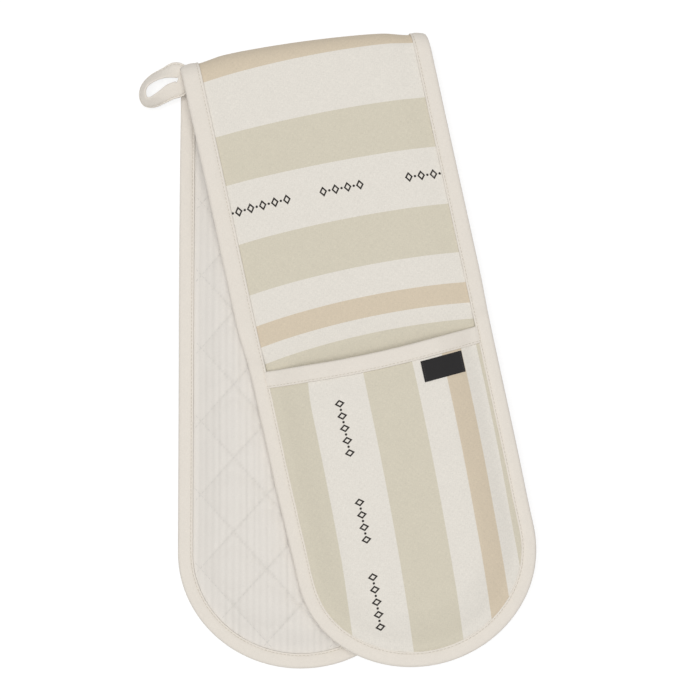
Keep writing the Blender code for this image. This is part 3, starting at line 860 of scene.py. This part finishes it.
# Where the stripes and the groups of lozenges lie on the strip, and how the stripes run across it:
# a tilt and a bow, each with its change along the front half
band_beige = ((-0.380, -0.340), (-0.225, -0.190), (-0.146, -0.112), (-0.0605, -0.0355),
              (0.0603, 0.0960), (0.1383, 0.1745), (0.2236, 0.2800), (0.3200, 0.3600))
band_tan = ((-0.300, -0.270), (-0.088, -0.0745), (-0.0160, 0.0191), (0.1966, 0.2117))
band_row_middles = (0.1158, -0.168)
band_row_groups = ((-0.0855, -0.0315), (-0.0135, 0.0225), (0.0495, 0.0855))
print_tilt, print_tilt_change = 0.00430, -0.0207
print_bow, print_bow_change = 0.00032, 0.0298
print_change_end = 0.25


def band_print(tree, place):
    """The strip's print: stripes across it, not quite square to it and a little bowed."""
    w, t = readings(tree, add_node(tree, "ShaderNodeSeparateXYZ", {0: place}).outputs[:2])
    level = t.through("MAXIMUM", 0.0).through("MINIMUM", print_change_end)
    across = w / half_width
    tilt = level * print_tilt_change + print_tilt
    bow = level * print_bow_change + print_bow
    along = t - across * (bow * across + tilt)
    off_front, off_back = (abs(along - middle) for middle in band_row_middles)
    off_row = off_front.through("MINIMUM", off_back)
    return printed(tree, along, band_beige, band_tan, w, off_row, band_row_groups)


striped_cotton = woven_material("striped_cotton", band_print, 0.00055, 0.8, 0.5, 0.05)

for length_name, length in strip_lengths.items():
    rows = length_rows(length, shell_columns, shell_pitch, shell_edge)
    w, t, faces = cut_cloth(shell_columns, rows, shell_edge)
    inset = inset_of(w, t)
    over = pad_top(inset)
    shell = two_faced(length_name + "_printed_cloth", w, t, faces, over - shell_thickness, over,
                      striped_cotton, inset)
    bend_with(shell, length)
    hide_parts(*(name + "_shell" for name in length.cad_names))
    flat, area = cut_size(length, w, t, faces, shell_edge)

# Pockets for the hands, one at each end. Each is a padded panel of the same print, cut with
# its stripes running lengthwise, lined with plain cotton, and caught in the binding round its
# sides and tip. It bulges off the strip to leave room for a hand.

pocket_depth = 0.2330
mouth_place = half_length - pocket_depth
mouth_dip = 0.0052
mouth_edge = 0.0012
mouth_tape_width = 0.0125
pocket_edge = 0.0012
pocket_pitch = 0.0025
pocket_columns = columns_across(pocket_edge, 91)

# Heights over the strip and thicknesses: in the middle, at the mouth and where the binding holds it
pocket_middle = 0.01225
pocket_sink = 0.0011
pocket_held_from, pocket_held_length = 0.0095, 0.0035
pocket_mouth_thickness = 0.0015
pocket_rim_thickness, pocket_thickness_swell = 0.0022, 0.0023
pocket_fill_in = 0.0175

# Which half each pocket lies on, the bodies of that half and of the pocket, and the heights in
# space between which its cloth goes over from the one to the other
Pocket = namedtuple("Pocket", "hand half_body body sewn_height free_height")
pockets = {"front": Pocket(1, "front_half", "front_pocket", 0.0315, 0.0405),
           "rear": Pocket(-1, "back_half", "rear_pocket", 0.0068, 0.0045)}


def mouth_line(w):
    """Distance of a pocket's mouth from the middle of the strip."""
    return mouth_place + mouth_dip * (1 - (w / half_width) ** 2)


def pocket_heights(w, t, inset):
    """n of the middle of a pocket panel and its thickness."""
    crown = crown_share(inset)
    held = 1 - ease((inset - pocket_held_from) / pocket_held_length)
    filled = pocket_rim_thickness + pocket_thickness_swell * crown
    fill = ease((np.abs(t) - mouth_line(w) - mouth_tape_width) / pocket_fill_in)
    thickness = pocket_mouth_thickness + (filled - pocket_mouth_thickness) * fill
    return pocket_middle * crown - pocket_sink * held, thickness


def open_with(piece):
    """Bakes the piece's place into its mesh. It is not attached to the pocket or its half, and does not open
    for a hand.
    """
    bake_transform(piece)


# Where its stripes lie, and how they run down from the mouth: turned, spread and bowed, and a little
# flared to the left just under the mouth
pocket_beige = ((-0.10, -0.0510), (-0.0092, 0.0271), (0.0754, 0.10))
pocket_tan = ((0.0492, 0.0639),)
pocket_row_middle = -0.0303
pocket_row_groups = ((0.0315, 0.0765), (0.1035, 0.1395), (0.1575, 0.2025))
pocket_print_turn, pocket_print_spread, pocket_print_bow = 0.0124, 0.0030, 0.1825
pocket_print_flare, pocket_flare_length = 0.0088, 0.040


def pocket_print(tree, place):
    """The same print, with its stripes running from the mouth to the tip."""
    w, t = readings(tree, add_node(tree, "ShaderNodeSeparateXYZ", {0: place}).outputs[:2])
    down = abs(t) - mouth_place
    turn = w * (pocket_print_spread / half_width) + pocket_print_turn - down * pocket_print_bow
    near = (1.0 - down / pocket_flare_length).through("MAXIMUM", 0.0)
    flare = near * near * (pocket_print_flare / half_width)
    across = w - down * turn + w.through("MINIMUM", 0.0) * flare
    off_row = across - pocket_row_middle
    return printed(tree, across, pocket_beige, pocket_tan, down, off_row, pocket_row_groups)


striped_lengthwise = woven_material("striped_cotton_lengthwise", pocket_print, 0.00055, 0.8, 0.5, 0.05)
plain_lining = woven_material("plain_lining", dye(224, 221, 215), 0.0006, 0.6, 0.25, 0.03, roughness=0.9)

# The layers of a pocket: how far their faces lie under its outer and over its inner face
panel_thickness = 0.0005
pocket_lining_thickness = 0.0004
bat_clearance = 0.00005

for pocket_name, pocket in pockets.items():
    fill_line = np.full(pocket_columns.shape, mouth_place + mouth_dip + mouth_tape_width + pocket_fill_in)
    stops = (mouth_line(pocket_columns) + mouth_edge, fill_line, np.full(pocket_columns.shape, round_start))
    rows = stepped(stops, (pocket_pitch, pocket_pitch)) + tip_rows(pocket_columns, pocket_pitch, pocket_edge)
    w, t, faces = cut_cloth(pocket_columns, pocket.hand * np.array(rows), pocket_edge)
    inset = inset_of(w, t)
    middle, thickness = pocket_heights(w, t, inset)
    outer, inner = thickness / 2, -thickness / 2
    area = flat_area(w, t, faces)
    flat = (2 * (half_width - pocket_edge), pocket_depth)
    layers = (
        ("_pocket_printed_panel", outer - panel_thickness, outer, striped_lengthwise, "printed_cloth",
         ("_pocket_shell", "_pocket_seam")),
        ("_pocket_lining_panel", inner, inner + pocket_lining_thickness, plain_lining, "quilted_lining",
         ("_pocket_lining",)),
        ("_pocket_wadding_bat", inner + pocket_lining_thickness + bat_clearance,
         outer - panel_thickness - bat_clearance, fibre_wadding, "wadding", ("_pocket_wadding",)),
    )
    for suffix, under, over, material, slot_name, nodes in layers:
        panel = two_faced(pocket_name + suffix, w, t, faces, middle + under, middle + over, material, inset)
        open_with(panel)
        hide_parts(*(pocket_name + node for node in nodes))
        slot_name == "wadding"

# Binding tape of the mouths. A strip of cream cotton tape folded over the edge of each
# pocket's mouth and sewn through near its lower edge, before the pocket is laid on the strip.

tape_thickness = 0.0009
seam_inset = 0.0015
mouth_hold = 0.00105
mouth_nose = 0.0022
mouth_end_inset = 0.0102
mouth_stations = np.linspace(mouth_end_inset - half_width, half_width - mouth_end_inset, 190)
cream_tape = woven_material("cream_tape", dye(228, 221, 211), 0.0006, 0.7, 0.3, 0.04, bump_height=0.00006)
# This thread's colour is darker than the tape's: painted shade of the seam's groove, on cream thread.
tape_thread = thread_material("cream_sewing_cotton", dye(214, 206, 190))
seam_stitch = (0.0028, 0.0021, 0.00045)

# How tape swells between its fold and its seam: at these shares of the way, in shares of its thickness
tape_swell = ((0.15, 0.16), (0.32, 0.30), (0.5, 0.36), (0.68, 0.30), (0.82, 0.16), (0.92, -0.05))


def tape_profile(width, hold, nose):
    """Folded tape in section, as (distance in from the fold, height over the middle) points, with a
    groove along its seam and a narrow lip beyond it. Also the numbers of its two seam points."""
    top, seam = hold + tape_thickness, width - seam_inset
    turns = [part * math.pi / 2 for part in np.linspace(0, 1, 8)]
    upper = [(nose * (1 - math.cos(turn) ** 0.9), top * math.sin(turn) ** 0.9) for turn in turns]
    upper += [(nose + (seam - nose) * part, top + tape_thickness * swell) for part, swell in tape_swell]
    seam_number = len(upper)
    groove = [(seam, hold + tape_thickness * 0.6), (seam + 0.0004, hold + tape_thickness * 0.9)]
    lip = [(width - 0.0003, top), (width, hold + tape_thickness * 0.5), (width - 0.0001, hold)]
    inner = [(width * 0.6, hold), (tape_thickness * 1.3, hold), (tape_thickness, hold * 0.4)]
    upper += groove + lip + inner
    lower = [(x, -y) for x, y in reversed(upper[1:])]
    return np.array(upper + lower), (seam_number, len(upper) + len(lower) - seam_number)


def swept_tape(name, rings, places, closed, material):
    """A strip of cloth drawn through rings of points, closed at its ends."""
    count, size = rings.shape[:2]
    faces = []
    for ring in range(count if closed else count - 1):
        start, following = ring * size, (ring + 1) % count * size
        for side in range(size):
            turned = (side + 1) % size
            faces.append((start + side, start + turned, following + turned, following + side))
    for start, flip in () if closed else ((0, -1), ((count - 1) * size, 1)):
        for side in range(size // 2):
            opposite = (start + (size - side - 1) % size, start + (size - side) % size)
            corners = list(dict.fromkeys((start + side, start + side + 1) + opposite))
            if len(corners) > 2:
                faces.append(tuple(corners[::flip]))
    return add_cloth(name, places.reshape(-1, 3), rings.reshape(-1, 3), faces, material)


def seams_on(rings, seam_numbers):
    """The seam on each face of a tape, with the directions out of it."""
    over, under = (rings[:, number] for number in seam_numbers)
    lift = over - under
    lift = lift / np.linalg.norm(lift, axis=1)[:, None]
    return [(over + lift * thread_height, lift), (under - lift * thread_height, -lift)]


mouth_profile, mouth_seams = tape_profile(mouth_tape_width, mouth_hold, mouth_nose)

for pocket_name, pocket in pockets.items():
    rings, places = [], []
    for station in mouth_stations:
        w = np.full(len(mouth_profile), station)
        inset = half_width - np.abs(w)
        down = mouth_line(station) + mouth_profile[:, 0]
        n = pocket_heights(w, down, inset)[0] + mouth_profile[:, 1]
        rings.append(folded(w, pocket.hand * down, n, inset))
        places.append(np.stack([w, pocket.hand * down, n], 1))
    rings = np.array(rings)
    tape = swept_tape(pocket_name + "_mouth_tape", rings, np.array(places), False, cream_tape)
    open_with(tape)
    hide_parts(pocket_name + "_pocket_mouth_binding")
    stitches = sewn_rows(pocket_name + "_mouth_stitches", seams_on(rings, mouth_seams), tape_thread,
                         seam_stitch, 20 + pocket.hand)
    open_with(stitches)

# Woven label. A short length of charcoal ribbon, left blank, sewn down by its two short ends
# just under the mouth tape of the front pocket.

label_width = 0.0308
label_height = 0.0155
label_inset = 0.0408
label_tuck = 0.0015
label_thickness = 0.0005
label_gap = 0.0002
label_edge_roll = 0.0012
label_seam_inset, label_seam_end = 0.0014, 0.0008
label_stitch = (0.0016, 0.0012, 0.0003)
charcoal_ribbon = woven_material("charcoal_ribbon", dye(24, 22, 23), 0.00035, 0.6, 0.8, 0.08,
                                 roughness=0.75, bump_height=0.00006, sheen=0.25)
label_thread = thread_material("charcoal_sewing_cotton", dye(60, 57, 56))


def label_top(w):
    """Distance of the label's upper edge from the middle of the strip."""
    return mouth_line(w) + mouth_tape_width + label_tuck


def under_label(w, t):
    """n of the label's lower face, just off the pocket's cloth."""
    middle, thickness = pocket_heights(w, t, half_width - w)
    return middle + thickness / 2 + label_gap


label_right = half_width - label_inset + label_width / 2
label_left = label_right - label_width
columns = np.linspace(label_left, label_right, 41)
rows = np.array([label_top(columns) + down for down in np.linspace(0, label_height, 21)])
w, t, faces = cut_cloth(columns, rows, 0)
down = t - label_top(w)
from_edge = np.minimum(np.minimum(down, label_height - down), np.minimum(w - label_left, label_right - w))
rolled = 0.45 + 0.55 * ease(from_edge / label_edge_roll)
under = under_label(w, t)
label = two_faced("woven_ribbon_label", w, t, faces, under, under + label_thickness * rolled, charcoal_ribbon,
                  half_width - w)
open_with(label)
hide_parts("woven_label")
rows = []
for place in (label_left + label_seam_inset, label_right - label_seam_inset):
    t = label_top(place) + np.linspace(label_seam_end, label_height - label_seam_end, 12)
    w = np.full(t.shape, place)
    n = under_label(w, t) + label_thickness
    on_cloth, off_cloth = (folded(w, t, n + off, half_width - w) for off in (0, 0.001))
    rows.append((on_cloth, (off_cloth - on_cloth) / 0.001))
stitches = sewn_rows("label_stitches", rows, label_thread, label_stitch, 31)
open_with(stitches)

# Binding tape of the rim. One long strip of the same cream tape, folded over the edges of all
# the layers and sewn through them, with small puckers where it turns round the two ends.

tape_width = 0.0110
rim_hold = 0.0018
rim_nose = 0.0034
rim_pitch = 0.0016
bend_stations = 10

# Where a pocket is held too, the tape goes over a step this high, this far before the mouth
seam_step = 0.0022
tape_step_length, tape_step_gap = 0.012, 0.002

# In the front half the tape is less tightly folded: how much further out and in it reaches on the
# left and on the right, how it starts at the bend, and where each of the two ends
tape_spreads = {-1: (0.0019, 0.0011), 1: (0.0007, 0.0003)}
spread_start, spread_start_length = -0.040, 0.035
spread_ends, spread_end_length = (0.195, 0.385), 0.040
pucker_sizes = {"bend": 0.00006, "ease": 0.00006, "straight": 0.00006, "round": 0.00013}


def rim_stations(length, pitch):
    """Stations along the rim of one length, as (kind, value)."""
    if not length.hand:
        first, last = math.radians(length.start), math.radians(length.end)
        return [("bend", first + (last - first) * step / bend_stations) for step in range(bend_stations + 1)]
    stations = [("bend", length.hand * piece_angle * (1 + step / bend_stations))
                for step in range(bend_stations)]
    for kind, low, high, run in (("ease", 0, 1, rise_start),
                                 ("straight", rise_start, round_start, round_start - rise_start),
                                 ("round", 0, math.pi / 2, half_width * math.pi / 2)):
        steps = round(run / pitch)
        stations += [(kind, low + (high - low) * step / steps) for step in range(steps)]
    return stations + [("round", math.pi / 2)]


def on_rim(station, hand, side, inset):
    """Places on the strip at one station of the rim, at these insets."""
    kind, value = station
    w = side * (half_width - inset)
    if kind == "round":
        return w * math.cos(value), hand * (round_start + (round_end_length - inset) * math.sin(value))
    if kind == "bend":
        return w, cut_line(value, w)
    if kind == "ease":
        start = cut_line(hand * math.pi / 2, w)
        return w, start + (hand * rise_start - start) * value
    return w, np.full(w.shape, hand * value)


def rim_levels(t_edge):
    """n of the middle of the held layers and half their thickness, higher where a pocket is held too."""
    step = ease((abs(t_edge) - (mouth_place - tape_step_gap - tape_step_length)) / tape_step_length)
    low, high = pad_middle - rim_hold, pad_middle + rim_hold + seam_step * step
    return (low + high) / 2, (high - low) / 2


def tape_spread(edge_t, side):
    """How much further out and in the tape reaches here."""
    started = ease((edge_t - spread_start) / spread_start_length)
    return [started * (1 - ease((edge_t - end) / spread_end_length)) * spread
            for end, spread in zip(spread_ends, tape_spreads[side])]


rim_shape, rim_seams = tape_profile(tape_width, rim_hold, rim_nose)


def rim_ring(station, hand, side, pucker):
    """Points and places of the tape round the edge at one station."""
    edge_t = float(np.ravel(on_rim(station, hand, side, np.zeros(1))[1])[0])
    middle, hold = rim_levels(edge_t)
    further_out, further_in = tape_spread(edge_t, side)
    inset = rim_shape[:, 0] * (1 + (further_out + further_in) / tape_width) - further_out
    height, face_of = np.abs(rim_shape[:, 1]), np.sign(rim_shape[:, 1])
    raised = np.where(height > rim_hold, hold + height - rim_hold, height / rim_hold * hold)
    outer = np.clip(height / (rim_hold + tape_thickness) - 0.6, 0, 1)
    raised = raised + pucker * outer * np.clip((inset - 0.002) / 0.006, 0, 1)
    n = middle + face_of * raised
    w, t = on_rim(station, hand, side, inset)
    return folded(w, t, n, inset), np.stack([w, t, n], 1)


for length_name, length in strip_lengths.items():
    stations = rim_stations(length, rim_pitch)
    for side in (0,) if length.hand else (-1, 1):
        walk = [(station, side or -1) for station in stations]
        if not side:
            walk += [(station, 1) for station in reversed(stations[:-1])]
        draws = np.random.default_rng(5 + side).normal(size=len(walk) + 6)
        puckers = np.convolve(draws, np.hanning(9)[1:-1], mode="valid")
        puckers = puckers * [pucker_sizes[station[0]] for station, at in walk]
        made = [rim_ring(station, length.hand or 1, at, pucker)
                for (station, at), pucker in zip(walk, puckers)]
        rings, places = (np.array(part) for part in zip(*made))
        side_words = {-1: ("_left",), 0: ("_left", "_right"), 1: ("_right",)}[side]
        name = length_name + (side_words[0] if side else "") + "_rim_tape"
        tape = swept_tape(name, rings, places, False, cream_tape)
        bend_with(tape, length)
        cad_names = [cad_name + word + "_binding" for cad_name in length.cad_names
                     for word in (side_words if cad_name.startswith("fold") else ("",))]
        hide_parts(*cad_names)
        run = float(np.linalg.norm(np.diff(rings, axis=0), axis=2).sum(0).mean())
        stitches = sewn_rows(name.replace("_tape", "_stitches"), seams_on(rings, rim_seams), tape_thread,
                             seam_stitch, 40 + length.hand + 3 * side)
        bend_with(stitches, length)

# Hanging loop. A doubled length of the same tape, standing on edge, caught under the binding
# at the left end of the bend.

loop_width = 0.0106
loop_thickness = 0.0016
loop_rings = 132
# Places round the loop from the corner of the fold, in millimetres, how far the tape leans flat, 0 to 1,
# and how much wider it lies there, because its fold is pressed open where the binding catches it
loop_places = np.array((
    (0.4, -5.2, 0.88, 1.0), (-5.0, -4.2, 0.84, 1.18), (-13.4, -6.6, 0.56, 1), (-21.3, -10.4, 0.42, 1),
    (-27.0, -16.0, 0.32, 1), (-28.3, -22.3, 0.32, 1), (-26.2, -27.2, 0.36, 1), (-21.0, -27.8, 0.46, 1),
    (-14.2, -24.2, 0.70, 1), (-7.4, -20.0, 0.90, 1.12), (-0.8, -17.6, 0.92, 1.15), (1.4, -13.4, 0.88, 0.85),
    (1.8, -9.2, 0.86, 0.85),
))


def smooth_route(places, count):
    """A closed smooth line through the given places."""
    route = []
    for step in range(count):
        at = step * len(places) / count
        start = math.floor(at)
        mix = at - start
        a, b, c, d = (places[(start + offset) % len(places)] for offset in (-1, 0, 1, 2))
        route.append((2 * b + (c - a) * mix + (2 * a - 5 * b + 4 * c - d) * mix ** 2
                      + (3 * b - a - 3 * c + d) * mix ** 3) / 2)
    return np.array(route)


corner_t = -half_width * math.tan(fold_tilt) - fold_offset
fold_corner = folded(-half_width, corner_t, 0.0, 0.0)
route = smooth_route(loop_places, loop_rings)
spine = np.stack([route[:, 0], route[:, 1], np.zeros(loop_rings)], 1) / 1000
spine = spine + (fold_corner[0], fold_corner[1], fold_radius)
# The folded tape in section: (height, out), its seam just above its lower edge
tall, deep = loop_width / 2, loop_thickness / 2
loop_face = [(-tall, 0), (-tall + 0.0001, deep * 0.55), (-tall + 0.0005, deep), (-tall + 0.0010, deep * 0.95),
             (-tall + 0.0014, deep * 0.6), (-tall + 0.0018, deep * 0.95), (-tall * 0.25, deep * 1.15),
             (tall * 0.4, deep * 1.15), (tall - 0.0008, deep), (tall - 0.0002, deep * 0.6)]
loop_profile = loop_face + [(tall, 0)] + [(high, -out) for high, out in reversed(loop_face[1:])]
loop_seam = 4
rings, places, run = [], [], 0
for step in range(loop_rings):
    ahead = spine[(step + 1) % loop_rings] - spine[step - 1]
    run += np.linalg.norm(ahead) / 2
    outward = np.array((ahead[1], -ahead[0], 0)) / np.linalg.norm(ahead)
    lean = max(route[step, 2], 0) * math.pi / 2
    up = np.array((0, 0, math.cos(lean))) - outward * math.sin(lean)
    face = outward * math.cos(lean) + np.array((0, 0, math.sin(lean)))
    rings.append([spine[step] + up * high * route[step, 3] + face * out for high, out in loop_profile])
    places.append([(high, run, out) for high, out in loop_profile])
rings = np.array(rings)
loop = swept_tape("hanging_tape_loop", rings, np.array(places), True, cream_tape)
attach(loop, "hanging_loop")
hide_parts("hanging_loop")
stitches = sewn_rows("hanging_loop_stitches", seams_on(rings, (loop_seam, len(loop_profile) - loop_seam)),
                     tape_thread, seam_stitch, 60)
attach(stitches, "hanging_loop")

# Floor, lamps and camera. The glove lies on a white floor under soft even light, seen from
# almost straight above.

floor_reach, floor_drop = 3, 0.0004
floor_grey, floor_seen_grey, floor_seen_glow = 0.8, 0.34, 0.74
room_strength, sun_strength, sun_spread = 0.36, 1.98, 40
sun_from = Vector((-0.05, -0.06, 1.0))
camera_target = Vector((0.0096, -0.0013, 0.02))
camera_elevation = math.radians(86)
camera_distance = 2.0
picture_width, focal_pixels, sensor_width = 700, 2753.2, 36


def seen_by_eye(tree):
    """1 for what the camera sees, also in a glossy or a clear surface."""
    rays = add_node(tree, "ShaderNodeLightPath").outputs
    names = ("Is Camera Ray", "Is Glossy Ray", "Is Transmission Ray")
    straight, mirrored, through_glass = readings(tree, [rays[name] for name in names])
    return straight.through("MAXIMUM", mirrored.through("MAXIMUM", through_glass))


def grey(level):
    return (level, level, level, 1)


floor_mesh = bpy.data.meshes.new("white_floor")
floor_corners = [(x * floor_reach, y * floor_reach, 0) for x, y in ((-1, -1), (1, -1), (1, 1), (-1, 1))]
floor_mesh.from_pydata(floor_corners, [], [(0, 1, 2, 3)])
floor = bpy.data.objects.new("white_floor", floor_mesh)
floor.location.z = -floor_drop
bpy.context.scene.collection.objects.link(floor)
floor_paint = bpy.data.materials.new("white_floor")
floor_paint.use_nodes = True
tree = floor_paint.node_tree
tree.nodes.clear()
matt = add_node(tree, "ShaderNodeBsdfDiffuse", {"Color": grey(floor_grey)})
seen_matt = add_node(tree, "ShaderNodeBsdfDiffuse", {"Color": grey(floor_seen_grey)})
seen_glow = add_node(tree, "ShaderNodeEmission", {"Strength": floor_seen_glow})
seen = add_node(tree, "ShaderNodeAddShader", {0: seen_matt.outputs[0], 1: seen_glow.outputs[0]})
choice = add_node(tree, "ShaderNodeMixShader", {0: seen_by_eye(tree), 1: matt.outputs[0], 2: seen.outputs[0]})
add_node(tree, "ShaderNodeOutputMaterial", {"Surface": choice.outputs[0]})
floor_mesh.materials.append(floor_paint)

scene = bpy.context.scene
scene.world = bpy.data.worlds.new("soft_room")
scene.world.use_nodes = True
tree = scene.world.node_tree
room_light = tree.nodes["Background"]
room_light.inputs["Color"].default_value = grey(1)
room_light.inputs["Strength"].default_value = room_strength
seen_room = add_node(tree, "ShaderNodeBackground", {"Color": grey(1)})
choice = add_node(tree, "ShaderNodeMixShader", {
    0: seen_by_eye(tree), 1: room_light.outputs[0], 2: seen_room.outputs[0]})
put(tree, choice.outputs[0], tree.nodes["World Output"].inputs["Surface"])

lamp = bpy.data.lights.new("soft_window", "SUN")
lamp.energy = sun_strength
lamp.angle = math.radians(sun_spread)
lamp_object = bpy.data.objects.new("soft_window", lamp)
lamp_object.rotation_euler = sun_from.to_track_quat("Z", "Y").to_euler()
scene.collection.objects.link(lamp_object)

camera = bpy.data.cameras.new("photograph")
camera.sensor_width = sensor_width
camera.lens = focal_pixels / picture_width * sensor_width
camera_object = bpy.data.objects.new("photograph", camera)
away = Vector((0, -math.cos(camera_elevation), math.sin(camera_elevation)))
camera_object.location = camera_target + away * camera_distance
camera_object.rotation_euler = away.to_track_quat("Z", "Y").to_euler()
scene.collection.objects.link(camera_object)
scene.camera = camera_object
scene.view_settings.view_transform = "Standard"
